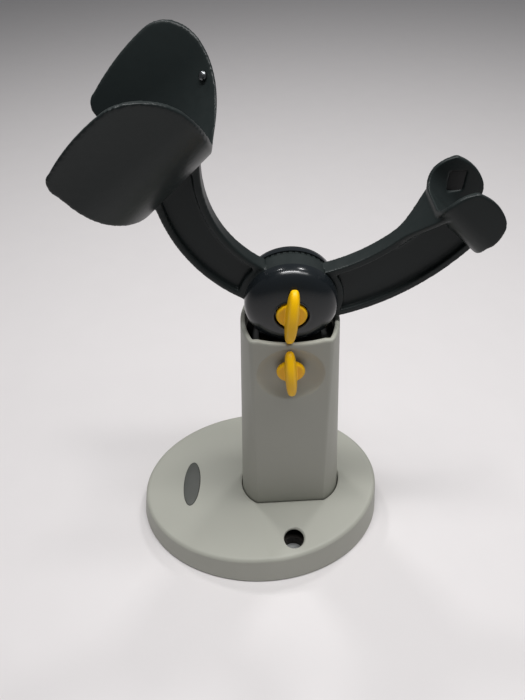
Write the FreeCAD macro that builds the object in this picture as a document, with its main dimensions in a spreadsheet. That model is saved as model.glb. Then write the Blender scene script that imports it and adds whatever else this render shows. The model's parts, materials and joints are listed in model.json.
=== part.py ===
"""Hands-free scanner stand: a weighted oval base, a tapered column, a mast that slides in it
and a tilting cradle with two curved arms, locked by two wing knobs.

Millimetres. +X points to the handle arm, +Y to the back, +Z up. The origin is the centre of the
oval base, on the surface that the feet stand on.
"""
import FreeCAD, Part
import math
import os
import re
import Sketcher
from FreeCAD import Placement, Rotation, Vector

doc = FreeCAD.newDocument("scanner_stand")

# ---------------------------------------------------------------------------------------------
# Driving dimensions: alias, value, what it is
# ---------------------------------------------------------------------------------------------
DRIVING = [
    # base
    ("base_length_half", 100.0, "half length of the base's top edge, along X"),
    ("base_width_half", 72.0, "half width of the base's top edge, along Y"),
    ("base_draft", 3.8, "how far the wall spreads from the top edge to the bottom edge"),
    ("base_rise", 30.7, "height of the top face above the floor at the base's centre"),
    ("base_lean", 4.23, "slope of the top face, up towards +X, degrees"),
    ("base_skin", 3.0, "wall and top thickness of the base shell"),
    ("base_edge", 3.5, "rounding of the top edge"),
    ("shell_lift", 1.6, "gap from the floor to the shell's lower edge"),
    ("plate_lift", 1.2, "gap from the floor to the bottom plate"),
    ("plate_thick", 1.8, "bottom plate thickness"),
    ("plate_gap", 0.4, "clearance round the bottom plate and the weight"),
    ("weight_thick", 12.0, "ballast thickness"),
    ("foot_radius", 9.0, "rubber foot radius"),
    ("pad_radius", 6.0, "radius of the middle pad"),
    ("foot_sink", 1.0, "how far a foot's spigot enters the bottom plate"),
    ("foot_spread_x", 68.0, "foot centre from the base centre along X"),
    ("foot_spread_y", 40.0, "foot centre from the base centre along Y"),
    ("bench_hole_x", 28.0, "bench screw hole from the base centre along X"),
    ("bench_hole_y", 53.5, "bench screw hole from the base centre along Y"),
    ("bench_hole_radius", 4.2, "bench screw clearance hole"),
    ("bench_sink_radius", 8.0, "counterbore of the bench screw hole"),
    ("bench_sink_depth", 3.5, "counterbore depth at the hole's centre"),
    ("post_radius", 4.2, "radius of the posts that the self-tapping screws enter"),
    ("head_radius", 3.4, "head radius of those screws"),
    ("thread_radius", 1.5, "pilot hole and shank radius of those screws"),
    ("badge_x", 59.0, "badge centre from the base centre, towards -X"),
    ("badge_length_half", 21.0, "half length of the badge, along Y"),
    ("badge_width_half", 7.2, "half width of the badge, along X"),
    ("badge_thick", 1.4, "badge thickness at its rim"),
    ("badge_proud", 0.7, "how far the badge stands out of the top face"),
    # column
    ("column_x", 24.4, "column, mast and hub axis from the base centre along X"),
    ("column_foot_shift", 2.6, "how far the column's foot is shifted outwards"),
    ("column_foot_half", 42.4, "half width of the column at its lower end"),
    ("column_head_half", 30.2, "half width of the column at its upper end"),
    ("column_foot_flat", 28.0, "half width of the flat front face at the lower end"),
    ("column_head_flat", 24.4, "half width of the flat front face at the upper end"),
    ("column_depth_half", 21.3, "half depth of the column"),
    ("column_corner", 3.6, "rounding of the column's upright corners"),
    ("column_low", 3.2, "height of the column's lower end"),
    ("column_top", 223.5, "height of the column's rim at its sides"),
    ("column_skin", 3.2, "column wall thickness"),
    ("column_gap", 0.7, "clearance of the column in the base's opening"),
    ("column_floor", 4.0, "thickness of the column's floor, where its screws hold"),
    ("saddle_low", 220.5, "height of the rim at the middle of the front face"),
    ("saddle_radius", 100.0, "radius of the dip in the rim"),
    ("dish_half_x", 21.3, "half width of the finger dish round the height knob"),
    ("dish_half_z", 23.2, "half height of the finger dish"),
    ("dish_depth", 4.6, "depth of the finger dish"),
    ("dish_bulge", 12.0, "half thickness of the dish's ellipsoid"),
    ("dish_pad", 5.1, "extra wall behind the dish"),
    ("dish_z", 193.4, "height of the dish's centre"),
    ("knob_rise", 3.0, "height knob above the dish's centre"),
    ("boss_proud", 2.6, "boss in the dish that carries the height knob"),
    # mast
    ("mast_half_x", 19.0, "half width of the mast"),
    ("mast_half_y", 9.0, "half depth of the mast"),
    ("mast_low", 72.0, "height of the mast's lower end when it is right down"),
    ("mast_wall", 3.0, "mast wall thickness"),
    ("mast_gap", 0.35, "clearance of the mast in its guide"),
    ("mast_travel", 75.0, "how far the mast rises"),
    ("guide_low", 152.0, "height of the guide's lower end"),
    ("guide_top", 211.5, "height of the guide's upper end"),
    ("stop_height", 6.0, "height of the stop cap on the mast's lower end"),
    ("stop_rim", 2.4, "how far the stop cap stands out past the mast"),
    # hub
    ("hub_z", 241.0, "height of the tilt axis"),
    ("hub_radius", 26.3, "hub radius"),
    ("cheek_in", 6.2, "inner face of the front cheek, from the hub's middle"),
    ("cheek_thick", 4.8, "thickness of each yoke cheek"),
    ("dome_rise", 7.0, "how far each dome stands out from its cheek"),
    ("dome_sink_radius", 9.9, "recess in the front dome round the tilt knob"),
    ("dome_sink", 2.6, "depth of that recess"),
    ("ring_front", 5.9, "front face of the cradle's ring, from the hub's middle"),
    ("ring_back", 4.0, "back face of the cradle's ring, from the hub's middle"),
    ("detent_thick", 1.6, "thickness of the detent ring behind the cradle's ring"),
    ("detent_teeth", 48.0, "number of teeth on the detent ring"),
    ("bush_radius", 8.0, "outer radius of the tilt bush"),
    ("fit", 0.05, "radial clearance of a running fit"),
    ("face_gap", 0.3, "clearance between faces that pass each other"),
    # arms and cups
    ("arm_half", 5.0, "half thickness of the arms"),
    ("web_half", 1.9, "half thickness of the web between an arm's flanges"),
    ("flange", 4.0, "height of an arm's flanges"),
    ("head_arc_x", 18.4, "centre of the head arm's curve, from the hub, along +X"),
    ("head_arc_z", 76.0, "centre of the head arm's curve, above the hub"),
    ("head_arc_out", 87.8, "outer radius of the head arm"),
    ("head_arc_in", 62.4, "inner radius of the head arm"),
    ("hand_arc_x", -5.3, "centre of the handle arm's curve, from the hub, along +X"),
    ("hand_arc_z", 106.0, "centre of the handle arm's curve, above the hub"),
    ("hand_arc_out", 123.9, "outer radius of the handle arm"),
    ("hand_arc_in", 90.0, "inner radius of the handle arm"),
    ("cup_wall", 2.8, "wall of the two cups"),
    ("head_cup_x", -69.1, "low end of the head cup's floor, from the hub, along X"),
    ("head_cup_z", 61.0, "low end of the head cup's floor, above the hub"),
    ("head_cup_slope", 42.6, "slope of the head cup's floor, up towards +X, degrees"),
    ("head_cup_length", 61.0, "length of the head cup's cheeks along its floor"),
    ("head_cup_height", 50.0, "height of the head cup's cheeks above its floor"),
    ("hand_cup_x", 70.1, "high end of the handle cup's floor, from the hub, along X"),
    ("hand_cup_z", 56.5, "high end of the handle cup's floor, above the hub"),
    ("hand_cup_slope", -42.2, "slope of the handle cup's floor, down towards +X, degrees"),
    ("hand_cup_half", 19.6, "half width of the handle cup, outside"),
    ("hand_cup_corner", 12.0, "corner radius of the handle cup's floor, outside"),
    ("hand_cup_length", 28.5, "length of the handle cup's ears along its floor"),
    ("hand_cup_height", 24.5, "height of the handle cup's ears above its floor"),
    ("stud_along", 53.0, "cup stud from the low end of the head cup, along its floor"),
    ("stud_above", 17.0, "cup stud above the head cup's floor"),
    ("stud_radius", 2.2, "cup stud head radius"),
    ("magnet_long", 11.0, "magnet cover length"),
    ("magnet_wide", 8.6, "magnet cover width"),
    ("magnet_thick", 1.5, "depth of the magnet cover's seat in the ear"),
    ("magnet_sink", 0.6, "how far the magnet cover lies below the ear's inner face"),
    # knobs
    ("knob_radius", 8.9, "wing knob flange radius"),
    ("knob_flange", 2.8, "wing knob flange thickness"),
    ("wing_long", 38.6, "wing length"),
    ("wing_deep", 9.5, "how far the wing stands out of the flange"),
    ("wing_thick", 7.2, "wing thickness"),
    ("tilt_knob_turn", 4.0, "rest angle of the tilt knob's wing, degrees"),
    ("height_knob_turn", -3.0, "rest angle of the height knob's wing, degrees"),
    ("washer_thick", 1.0, "washer thickness"),
    ("screw_radius", 3.0, "clamp screw radius"),
    ("nut_radius", 5.2, "clamp nut radius, across its corners"),
    ("nut_thick", 5.0, "tilt nut thickness"),
    ("height_nut_thick", 2.8, "height nut thickness"),
    ("nut_cover", 0.9, "wall left between the dish and the height nut"),
    ("strip_thick", 0.6, "grip strip on the mast"),
    ("strip_half", 7.0, "half width of the grip strip"),
    ("clamp_gap", 0.15, "gap between the shoe and the grip strip"),
    ("shoe_radius", 5.5, "radius of the shoe that presses on the mast"),
    ("shoe_thick", 1.6, "thickness of the shoe, which backs off 1.5 before it meets the nut"),
]
sheet = doc.addObject("Spreadsheet::Sheet", "sizes")
for row, (alias, number, note) in enumerate(DRIVING, start=1):
    sheet.set(f"A{row}", alias)
    sheet.set(f"B{row}", str(number))
    sheet.set(f"C{row}", note)
    sheet.setAlias(f"B{row}", alias)
doc.recompute()
ALIASES = [alias for alias, number, note in DRIVING]
WORD = re.compile(r"\b(" + "|".join(ALIASES) + r")\b")


def size(alias):
    """The number in a cell."""
    return float(sheet.get(alias))


def formula(text):
    """A formula in the sheet's words, written the way setExpression wants it."""
    return WORD.sub(lambda word: "sizes." + word.group(1), text)


def bind(item, prop, text):
    item.setExpression(prop, formula(text))


# ---------------------------------------------------------------------------------------------
# Small makers
# ---------------------------------------------------------------------------------------------
ALONG_Z = Rotation()
ALONG_Y = Rotation(Vector(1, 0, 0), -90)      # a part drawn along +Z then runs along +Y
FRONTWARD = Rotation(Vector(1, 0, 0), 90)     # a part drawn along +Z then runs along -Y
HUB = ("column_x", "0", "hub_z")
DISH = ("column_x", "0", "dish_z")
HEIGHT_KNOB = ("column_x", "0", "dish_z + knob_rise")


def put(item, where, turn=ALONG_Z):
    """Place an item: where holds three formulas."""
    item.Placement = Placement(Vector(), turn)
    for axis, text in zip("xyz", where):
        bind(item, f"Placement.Base.{axis}", text)
    return item


def box(name, corner, length, width, height):
    item = doc.addObject("Part::Box", name)
    bind(item, "Length", length)
    bind(item, "Width", width)
    bind(item, "Height", height)
    return put(item, corner)


def rod(name, where, radius, height, turn=ALONG_Z):
    item = doc.addObject("Part::Cylinder", name)
    bind(item, "Radius", radius)
    bind(item, "Height", height)
    return put(item, where, turn)


def hub_rod(name, front, radius, depth):
    """A cylinder about the tilt axis, from y = front towards the back."""
    return rod(name, ("column_x", front, "hub_z"), radius, depth, ALONG_Y)


def cone(name, where, low, high, height, turn=ALONG_Z):
    item = doc.addObject("Part::Cone", name)
    bind(item, "Radius1", low)
    bind(item, "Radius2", high)
    bind(item, "Height", height)
    return put(item, where, turn)


def ellipsoid(name, where, half_x, half_y, half_z):
    item = doc.addObject("Part::Ellipsoid", name)
    item.Angle1, item.Angle2, item.Angle3 = -90, 90, 360
    bind(item, "Radius1", half_z)
    bind(item, "Radius2", half_x)
    bind(item, "Radius3", half_y)
    return put(item, where)


def fuse(name, *items):
    item = doc.addObject("Part::MultiFuse", name)
    item.Shapes = list(items)
    return item


def common(name, *items):
    item = doc.addObject("Part::MultiCommon", name)
    item.Shapes = list(items)
    return item


def group(name, items):
    """Separate solids in one node, for fasteners and feet."""
    item = doc.addObject("Part::Compound", name)
    item.Links = list(items)
    return item


def cut(name, body, *tools):
    item = doc.addObject("Part::Cut", name)
    item.Base = body
    item.Tool = tools[0] if len(tools) == 1 else fuse(name + "_tools", *tools)
    return item


def loft(name, *sections):
    item = doc.addObject("Part::Loft", name)
    item.Sections = list(sections)
    item.Solid = True
    item.Ruled = False
    return item


def computed(name, shape):
    """A shape that part.py worked out from the sheet itself."""
    item = doc.addObject("Part::Feature", name)
    item.Shape = shape
    return item


def body_plane(body, role):
    return [plane for plane in body.Origin.OriginFeatures if plane.Role == role][0]


def profile_sketch(body, name, role, corners):
    """A closed outline of straight sides: each corner is a pair of formulas."""
    sketch = body.newObject("Sketcher::SketchObject", name)
    sketch.AttachmentSupport = [(body_plane(body, role), "")]
    sketch.MapMode = "FlatFace"
    count = len(corners)
    spots = [Vector(evaluate(right), evaluate(up), 0) for right, up in corners]
    for index in range(count):
        sketch.addGeometry(Part.LineSegment(spots[index], spots[(index + 1) % count]), False)
    for index in range(count):
        sketch.addConstraint(Sketcher.Constraint("Coincident", index, 2, (index + 1) % count, 1))
    for index, corner in enumerate(corners):
        for kind, axis, text in (("DistanceX", -2, corner[0]), ("DistanceY", -1, corner[1])):
            if text == "0":
                sketch.addConstraint(Sketcher.Constraint("PointOnObject", index, 1, axis))
            else:
                number = sketch.addConstraint(
                    Sketcher.Constraint(kind, -1, 1, index, 1, evaluate(text)))
                bind(sketch, f"Constraints[{number}]", text)
    return sketch


def evaluate(text):
    """The number that a formula gives, for a sketch's first drawing."""
    total = WORD.sub(lambda word: repr(size(word.group(1))), text)
    return float(FreeCAD.Units.Quantity(total).Value)


def turned(name, where, corners, turn=ALONG_Z):
    """A turned part: corners are (radius, height) formulas, revolved about its own Z axis."""
    body = doc.addObject("PartDesign::Body", name)
    sketch = profile_sketch(body, name + "_profile", "XZ_Plane", corners)
    revolution = body.newObject("PartDesign::Revolution", name + "_turn")
    revolution.Profile = sketch
    revolution.ReferenceAxis = (sketch, ["V_Axis"])
    revolution.Angle = 360
    return put(body, where, turn)


NODES = []


def node(name, item):
    """Name an item as a sub-part of the stand."""
    item.Label = name
    NODES.append(item)
    return item


# ---------------------------------------------------------------------------------------------
# Base
# ---------------------------------------------------------------------------------------------
def leaning_oval(name, shrink, drop):
    """The top face's outline, drawn in its own slope."""
    item = doc.addObject("Part::Ellipse", name)
    bind(item, "MajorRadius", f"(base_length_half - ({shrink})) / cos(base_lean * 1deg)")
    bind(item, "MinorRadius", f"base_width_half - ({shrink})")
    put(item, ("0", "0", f"base_rise - ({drop})"), Rotation(Vector(0, -1, 0), size("base_lean")))
    bind(item, "Placement.Rotation.Angle", "base_lean * 1deg")
    return item


def level_oval(name, shrink, height):
    item = doc.addObject("Part::Ellipse", name)
    bind(item, "MajorRadius", f"base_length_half + base_draft - ({shrink})")
    bind(item, "MinorRadius", f"base_width_half + base_draft - ({shrink})")
    return put(item, ("0", "0", height))


def column_section(height, inset):
    """The column's outline at a height: flat front and back, bowed sides; inset is inwards."""
    share = (height - size("column_low")) / (size("column_top") - size("column_low"))
    foot_half, head_half = size("column_foot_half"), size("column_head_half")
    half = foot_half + (head_half - foot_half) * share - inset
    flat = size("column_foot_flat") + (size("column_head_flat") - size("column_foot_flat")) * share
    flat = flat - inset * 0.5
    depth = size("column_depth_half") - inset
    middle = size("column_x") + size("column_foot_shift") * (1 - share)
    # Each side bows on a circle through its two corners and its tip; the corners are rounded.
    hollow = (half ** 2 - flat ** 2 - depth ** 2) / (2 * (half - flat))
    bow = half - hollow
    turn_radius = max(size("column_corner") - inset, 0.8)
    inner_x = hollow + math.sqrt((bow - turn_radius) ** 2 - (depth - turn_radius) ** 2)
    slant = Vector(inner_x - hollow, depth - turn_radius, 0).normalize()
    bisector = (slant + Vector(0, 1, 0)).normalize()
    on_flat = Vector(inner_x, depth, 0)
    on_turn = Vector(inner_x, depth - turn_radius, 0) + bisector * turn_radius
    on_side = Vector(hollow, 0, 0) + slant * bow

    def spot(point, sign_x, sign_y):
        return Vector(middle + sign_x * point.x, sign_y * point.y, height)

    edges = []
    for sign_x, sign_y in ((1, -1), (-1, 1)):
        edges.append(Part.LineSegment(spot(on_flat, -sign_x, sign_y), spot(on_flat, sign_x, sign_y)))
        edges.append(Part.Arc(spot(on_flat, sign_x, sign_y), spot(on_turn, sign_x, sign_y),
                              spot(on_side, sign_x, sign_y)))
        edges.append(Part.Arc(spot(on_side, sign_x, sign_y), spot(Vector(half, 0, 0), sign_x, 1),
                              spot(on_side, sign_x, -sign_y)))
        edges.append(Part.Arc(spot(on_side, sign_x, -sign_y), spot(on_turn, sign_x, -sign_y),
                              spot(on_flat, sign_x, -sign_y)))
    return Part.Wire([edge.toShape() for edge in edges])


def column_solid(low, high, inset):
    """The tapered column between two heights, offset inwards by inset."""
    return Part.makeLoft([column_section(low, inset), column_section(high, inset)], True, True)


def edges_near_top(shape):
    """The rim of the base's top face: the closed edge with the highest middle."""
    ranked = sorted(range(len(shape.Edges)), key=lambda i: shape.Edges[i].CenterOfMass.z)
    return ranked[-1] + 1


def bench_holes(name, low, radius, height):
    """One cylinder at each bench screw hole."""
    return [rod(f"{name}_{side}", ("bench_hole_x", sign + "bench_hole_y", low), radius, height)
            for side, sign in (("front", "-"), ("back", ""))]


def make_base():
    outer = loft("base_outer", level_oval("base_foot_line", "0", "shell_lift"),
                 leaning_oval("base_top_line", "0", "0"))
    doc.recompute()
    rounded = doc.addObject("Part::Fillet", "base_rounded")
    rounded.Base = outer
    rounded.Edges = [(edges_near_top(outer.Shape), size("base_edge"), size("base_edge"))]
    inner = loft("base_inner", level_oval("base_inner_foot", "base_skin", "shell_lift - 1"),
                 leaning_oval("base_inner_top", "base_skin", "base_skin"))
    hollow = cut("base_hollow", rounded, inner)
    posts = [rod(f"shell_post_{i}", (x, y, "plate_lift + plate_thick"), "post_radius", "base_rise")
             for i, (x, y) in enumerate(plate_screw_spots())]
    bosses = fuse("bench_bosses", *posts, *bench_holes(
        "bench_boss", "plate_lift + plate_thick", "bench_sink_radius", "base_rise"))
    bosses_in = common("bench_bosses_in", bosses, rounded)
    solid = fuse("base_with_bosses", hollow, bosses_in)
    opening = computed("column_opening", column_solid(0.5, 60, -size("column_gap")))
    sinks = bench_holes("bench_sink", "base_rise + bench_hole_x * tan(base_lean * 1deg)"
                        " - bench_sink_depth", "bench_sink_radius", "20")
    bores = bench_holes("bench_bore", "0", "bench_hole_radius", "60")
    pilots = [rod(f"shell_pilot_{i}", (x, y, "0"), "thread_radius", "12.5")
              for i, (x, y) in enumerate(plate_screw_spots())]
    pocket = badge_slab("badge_pocket", "0.1", "badge_thick - badge_proud", "6")
    node("base_shell", cut("base_shell_cut", solid, opening, pocket, *sinks, *bores,
                           *pilots))


def badge_slab(name, margin, depth, height):
    """An oval slab lying in the slope of the top face, its underside depth below the face."""
    ring = doc.addObject("Part::Ellipse", name + "_line")
    bind(ring, "MajorRadius", f"badge_length_half + {margin}")
    bind(ring, "MinorRadius", f"badge_width_half + {margin}")
    slope = Rotation(Vector(0, -1, 0), size("base_lean"))
    ring.Placement = Placement(Vector(), slope.multiply(Rotation(Vector(0, 0, 1), 90)))
    bind(ring, "Placement.Base.x", "-badge_x")
    bind(ring, "Placement.Base.z",
         f"base_rise - badge_x * tan(base_lean * 1deg) - ({depth})")
    slab = doc.addObject("Part::Extrusion", name)
    slab.Base = ring
    slab.DirMode = "Normal"
    slab.Solid = True
    bind(slab, "LengthFwd", height)
    return slab


def make_badge():
    slab = badge_slab("badge_slab", "0", "badge_thick - badge_proud", "badge_thick")
    doc.recompute()
    domed = doc.addObject("Part::Fillet", "badge_domed")
    domed.Base = slab
    domed.Edges = [(edges_near_top(slab.Shape), size("badge_proud") * 0.8, size("badge_proud") * 0.8)]
    node("badge", domed)


def inner_slab(name, low, thick):
    """A flat slab that fills the shell's inside outline at the bottom, with clearance."""
    line = level_oval(name + "_line", "base_skin + plate_gap + 0.2", low)
    slab = doc.addObject("Part::Extrusion", name)
    slab.Base = line
    slab.DirMode = "Custom"
    slab.Dir = Vector(0, 0, 1)
    slab.Solid = True
    bind(slab, "LengthFwd", thick)
    return slab


def foot_spots():
    """Four feet near the rim and a smaller pad in the middle: centre and radius of each."""
    spots = [(f"{x}foot_spread_x", f"{y}foot_spread_y", "foot_radius")
             for x in ("", "-") for y in ("", "-")]
    return spots + [("0", "0", "pad_radius")]


def column_screw_spots():
    return [(f"column_x + column_foot_shift {x} 26", f"{y}11") for x in "+-" for y in ("", "-")]


def plate_screw_spots():
    return [("-80", "0"), ("-30", "55"), ("-30", "-55"), ("84", "24"), ("84", "-24")]


def make_base_insides():
    plate = inner_slab("plate_slab", "plate_lift", "plate_thick")
    bores = bench_holes("plate_bench", "0", "bench_hole_radius", "10")
    sockets = [rod(f"plate_foot_{i}", (x, y, "plate_lift - 0.01"), radius + " - 3", "foot_sink + 0.01")
               for i, (x, y, radius) in enumerate(foot_spots())]
    ways = [rod(f"plate_way_{i}", (x, y, "0"), "head_radius + 0.2", "10")
            for i, (x, y) in enumerate(column_screw_spots() + plate_screw_spots())]
    node("base_plate", cut("base_plate_cut", plate, *bores, *sockets, *ways))

    inside = loft("weight_inside",
                  level_oval("weight_foot_line", "base_skin + plate_gap", "shell_lift"),
                  leaning_oval("weight_top_line", "base_skin + plate_gap", "base_skin + plate_gap"))
    layer = box("weight_layer", ("-200", "-200", "plate_lift + plate_thick"), "400", "400",
                "weight_thick")
    slab = common("weight_slab", inside, layer)
    ease = computed("weight_opening", column_solid(0.5, 60, -size("column_gap")))
    bosses = bench_holes("weight_bench", "0",
                         "bench_sink_radius + plate_gap", "60")
    posts = [rod(f"weight_post_{i}", (x, y, "0"), "post_radius + plate_gap", "60")
             for i, (x, y) in enumerate(plate_screw_spots())]
    node("base_weight", cut("base_weight_cut", slab, ease, *bosses, *posts))

    feet = []
    for index, (x, y, radius) in enumerate(foot_spots()):
        pad = cone(f"foot_pad_{index}", (x, y, "0"), radius + " - 0.6", radius, "plate_lift")
        spigot = rod(f"foot_spigot_{index}", (x, y, "plate_lift"), radius + " - 3", "foot_sink")
        feet.append(fuse(f"foot_{index}", pad, spigot))
    node("base_feet", group("base_feet_group", feet))


make_base()
make_badge()
make_base_insides()


# ---------------------------------------------------------------------------------------------
# Column
# ---------------------------------------------------------------------------------------------
def dish_ellipsoid():
    """The ellipsoid that hollows the finger dish out of the front wall."""
    reach = "sqrt(1 - ((dish_bulge - dish_depth) / dish_bulge)^2)"
    return ellipsoid("dish_hollow", ("column_x", "-column_depth_half - dish_bulge + dish_depth",
                                     "dish_z"),
                     f"dish_half_x / {reach}", "dish_bulge", f"dish_half_z / {reach}")


def height_rod(name, front, radius, depth):
    """A cylinder about the height screw's axis, from y = front towards the back."""
    return rod(name, ("column_x", front, HEIGHT_KNOB[2]), radius, depth, ALONG_Y)


def hexagon(name, where, radius, height):
    item = doc.addObject("Part::Prism", name)
    item.Polygon = 6
    bind(item, "Circumradius", radius)
    bind(item, "Height", height)
    return put(item, where, ALONG_Y)


NUT_FRONT = "-column_depth_half + dish_depth + nut_cover"
PAD_BACK = "-column_depth_half + column_skin + dish_pad"


def make_column():
    low, top = size("column_low"), size("column_top")
    outer = computed("column_outer", column_solid(low, top, 0))
    inner = computed("column_inner", column_solid(low + size("column_floor"), top + 5,
                                                  size("column_skin")))
    walls = cut("column_walls", outer, inner)
    pad = rod("dish_pad_rod", ("column_x", "-column_depth_half + 1", "dish_z"),
              "dish_half_z + 2", "column_skin + dish_pad - 1", ALONG_Y)
    pad_in = common("dish_pad_in", pad, outer)
    boss = height_rod("dish_boss", "-column_depth_half + dish_depth - boss_proud", "knob_radius - 1.6",
                      "boss_proud + 2")
    posts = [rod(f"column_post_{i}", (x, y, "column_low"), "post_radius", "14")
             for i, (x, y) in enumerate(column_screw_spots())]
    dished = cut("column_dished", fuse("column_padded", walls, pad_in, *posts), dish_ellipsoid())
    saddle = rod("saddle", ("column_x", "-60", "saddle_low + saddle_radius"), "saddle_radius", "120",
                 ALONG_Y)
    bore = height_rod("column_bore", "-40", "screw_radius + face_gap", "35")
    pocket = hexagon("height_nut_pocket", ("column_x", NUT_FRONT, HEIGHT_KNOB[2]),
                     "nut_radius + 0.1", "10")
    hub_room = hub_rod("hub_room", "-column_depth_half + column_skin", "hub_radius + 0.8", "30")
    pilots = [rod(f"column_pilot_{i}", (x, y, "0"), "thread_radius", "15")
              for i, (x, y) in enumerate(column_screw_spots())]
    node("column_shell", cut("column_cut", fuse("column_bossed", dished, boss), saddle, bore, pocket,
                             hub_room, *pilots))


def screw_group(name, spots):
    """Pan-head screws driven upwards, their heads in the bottom plate's holes."""
    screws = []
    for index, (x, y) in enumerate(spots):
        head = cone(f"{name}_head_{index}", (x, y, "plate_lift + 0.1"), "head_radius - 0.6",
                    "head_radius", "plate_thick - 0.1")
        stem = rod(f"{name}_stem_{index}", (x, y, "plate_lift + plate_thick"), "thread_radius", "9")
        screws.append(fuse(f"{name}_{index}", head, stem))
    node(name, group(name + "_group", screws))


def make_guide():
    """The liner that the mast slides in, held between the column's walls."""
    low, top = size("guide_low"), size("guide_top")
    block = computed("guide_block", column_solid(low, top, size("column_skin") + 0.2))
    way = box("guide_way", ("column_x - mast_half_x - mast_gap", "-mast_half_y - mast_gap", "0"),
              "2 * (mast_half_x + mast_gap)", "2 * (mast_half_y + mast_gap)", "400")
    strip_way = box("guide_strip_way", ("column_x - strip_half - 0.5", "-mast_half_y - strip_thick"
                                        " - mast_gap", "0"),
                    "2 * (strip_half + 0.5)", "5", "400")
    pad_way = rod("guide_pad_way", ("column_x", "-40", "dish_z"), "dish_half_z + 2.4",
                  f"40 + {PAD_BACK} + 0.2", ALONG_Y)
    shoe_way = height_rod("guide_shoe_way", "-40", "shoe_radius + face_gap", "35")
    node("mast_guide", cut("guide_cut", block, way, strip_way, pad_way, shoe_way))


def make_height_nut():
    blank = hexagon("height_nut_blank", ("column_x", NUT_FRONT, HEIGHT_KNOB[2]), "nut_radius",
                    "height_nut_thick")
    bore = height_rod("height_nut_bore", "-40", "screw_radius + fit", "35")
    node("height_nut", cut("height_nut_cut", blank, bore))


# ---------------------------------------------------------------------------------------------
# Mast and hub
# ---------------------------------------------------------------------------------------------
CHEEK_FRONT = "-cheek_in - cheek_thick"
BACK_IN = "ring_back + face_gap + detent_thick"
BACK_OUT = BACK_IN + " + cheek_thick"
COVER_SCREW_RADIUS = 18.0


def cover_screw_spots():
    """Three screws hold each cover to its cheek."""
    spots = []
    for angle in (30, 150, 270):
        across = COVER_SCREW_RADIUS * math.cos(math.radians(angle))
        up = COVER_SCREW_RADIUS * math.sin(math.radians(angle))
        spots.append((f"column_x + {across:.3f}", f"hub_z + {up:.3f}"))
    return spots


def make_mast():
    tube = box("mast_block", ("column_x - mast_half_x", "-mast_half_y", "mast_low"),
               "2 * mast_half_x", "2 * mast_half_y", "hub_z - 14 - mast_low")
    core = box("mast_core", ("column_x - mast_half_x + mast_wall", "-mast_half_y + mast_wall",
                             "mast_low - 1"),
               "2 * (mast_half_x - mast_wall)", "2 * (mast_half_y - mast_wall)",
               "hub_z - hub_radius - 5 - mast_low")
    front = hub_rod("cheek_front", CHEEK_FRONT, "hub_radius", "cheek_thick")
    back = hub_rod("cheek_back", BACK_IN, "hub_radius", "cheek_thick")
    slot = hub_rod("ring_slot", "-cheek_in", "hub_radius + 0.7", f"cheek_in + {BACK_IN}")
    bore = hub_rod("mast_bore", "-40", "bush_radius", "80")
    pilots = [rod(f"cover_pilot_{i}", (x, "-40", z), "1.3", "80", ALONG_Y)
              for i, (x, z) in enumerate(cover_screw_spots())]
    tube_cut = cut("mast_tube_cut", tube, core, slot)
    node("mast", cut("mast_cut", fuse("mast_fused", tube_cut, front, back), bore, *pilots))

    strip = box("strip_block", ("column_x - strip_half", "-mast_half_y - strip_thick",
                                "mast_low + stop_height + 2"),
                "2 * strip_half", "strip_thick", "hub_z - hub_radius - 6 - mast_low - stop_height")
    node("grip_strip", strip)

    cap = box("stop_block", ("column_x - mast_half_x - stop_rim", "-mast_half_y - stop_rim",
                             "mast_low - 2"),
              "2 * (mast_half_x + stop_rim)", "2 * (mast_half_y + stop_rim)", "stop_height")
    seat = box("stop_seat", ("column_x - mast_half_x", "-mast_half_y", "mast_low"),
               "2 * mast_half_x", "2 * mast_half_y", "stop_height + 5")
    node("mast_stop", cut("stop_cut", cap, seat))


def dome(name, middle, half_y, shrink):
    return ellipsoid(name, ("column_x", middle, "hub_z"), f"hub_radius - {shrink}", half_y,
                     f"hub_radius - {shrink}")


def cover(name, face, outward):
    """One domed cover: a shell with a middle boss; outward is -1 for the front, 1 for the back."""
    keep_front = f"{face} - 30" if outward < 0 else face
    keep = hub_rod(name + "_keep", keep_front, "60", "30")
    shell = cut(name + "_shell", dome(name + "_out", face, "dome_rise", "0"),
                dome(name + "_in", face, "dome_rise - 2.4", "2.6"))
    boss = common(name + "_boss", dome(name + "_boss_dome", face, "dome_rise", "0"),
                  hub_rod(name + "_boss_rod", "-40", "dome_sink_radius + 2", "80"))
    posts = common(name + "_posts", dome(name + "_post_dome", face, "dome_rise", "0"),
                   group(name + "_post_rods",
                         [rod(f"{name}_post_{i}", (x, "-40", z), "3.4", "80", ALONG_Y)
                          for i, (x, z) in enumerate(cover_screw_spots())]))
    return common(name + "_half", fuse(name + "_all", shell, boss, posts), keep)


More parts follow.
